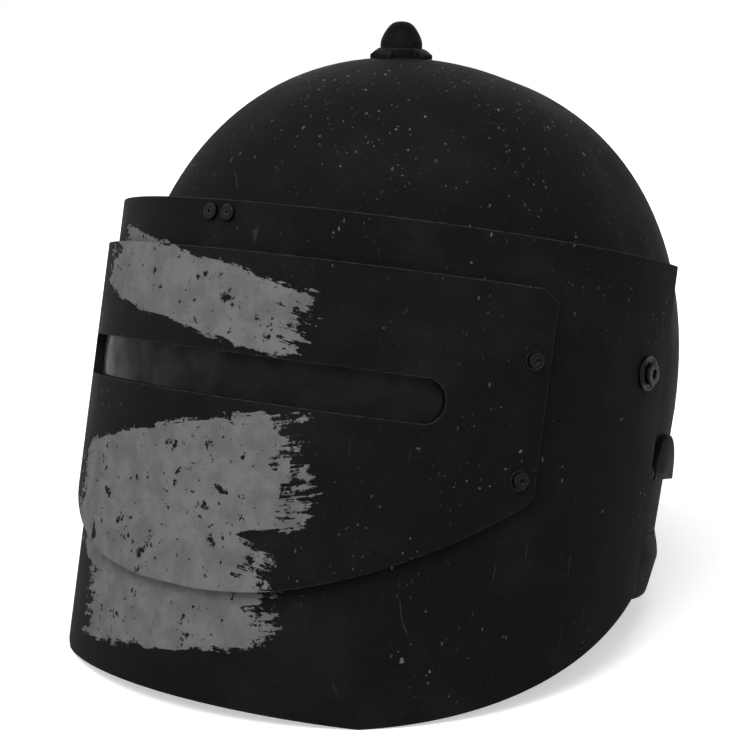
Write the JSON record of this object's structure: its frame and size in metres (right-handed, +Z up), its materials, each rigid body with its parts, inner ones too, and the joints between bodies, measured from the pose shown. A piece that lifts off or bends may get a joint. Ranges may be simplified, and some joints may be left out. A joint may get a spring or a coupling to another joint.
{
  "type": "ballistic helmet",
  "caption": "Full-face steel ballistic helmet with a round crown, a wrap-round lifting visor, a slitted face plate, a sprung crown knob and a padded liner.",
  "frame": {"origin": "on the surface the helmet stands on, under the middle of its box, in the attitude in which it rests on the two ends of the chin edge and the foot of the nape roll", "axes": "+Z up, -Y the way the visor faces, +X to the wearer's left; the hinge axis of the visor is along X"},
  "size_m": [0.2678, 0.3032, 0.2747],
  "materials": {
    "shell_paint": "satin black paint, chipped",
    "visor_paint": "satin black paint, chipped",
    "plate_paint": "satin black paint with worn grey brushed paint",
    "catch_paint": "matte black paint",
    "frame_paint": "matte black paint",
    "black_zinc": "blackened",
    "rivet_steel": "blackened",
    "spring_steel": "oiled",
    "bush_steel": "turned",
    "buckle_steel": "matte black",
    "rubber_trim": "matte",
    "vision_glass": "polished",
    "pad_fabric": "knitted cover over foam",
    "webbing": "woven olive webbing",
    "band_leather": "worn brown leather",
    "cup_leather": "worn brown leather"
  },
  "bodies": {
    "helmet": {"shell": "shell_paint", "face_opening_trim": "rubber_trim", "nape_roll": "rubber_trim", "crown_plate": "catch_paint", "crown_plate_rivets": "rivet_steel", "crown_knob_spring": "spring_steel", "pivot_bushes": "bush_steel", "pivot_washers": "black_zinc", "pivot_screws": "black_zinc", "pivot_nuts": "black_zinc", "left_hearing_hood": "shell_paint", "right_hearing_hood": "shell_paint", "hearing_hood_rivets": "rivet_steel", "brow_pad": "pad_fabric", "left_side_pad": "pad_fabric", "right_side_pad": "pad_fabric", "nape_pad": "pad_fabric", "crown_pad": "pad_fabric", "head_band": "band_leather", "left_strap_anchor": "black_zinc", "right_strap_anchor": "black_zinc", "strap_rivets": "rivet_steel", "left_chin_strap": "webbing", "right_chin_strap": "webbing", "chin_strap_buckle": "buckle_steel", "chin_cup": "cup_leather"},
    "visor": {"visor": "visor_paint", "face_plate": "plate_paint", "plate_screws": "black_zinc", "plate_washers": "black_zinc", "plate_nuts": "black_zinc", "vision_glass": "vision_glass", "glass_gasket": "rubber_trim", "glass_frame": "frame_paint", "frame_rivets": "rivet_steel", "band_screws": "black_zinc", "band_nuts": "black_zinc", "visor_catch": "spring_steel"},
    "crown_knob": {"crown_knob": "catch_paint", "crown_knob_clip": "spring_steel"}
  },
  "joints": [
    {"name": "visor_lift", "type": "hinge", "parent": "helmet", "child": "visor", "pos_m": [0, 0.01364, 0.12757], "axis": [-1, 0, 0], "range_deg": [0, 54]},
    {"name": "knob_press", "type": "slide", "parent": "helmet", "child": "crown_knob", "axis": [0, -0.0505, -0.9987], "range_m": [0, 0.0025], "stiffness_N_per_m": 1500, "springref_m": -0.002, "deforming": ["crown_knob_spring"]}
  ]
}
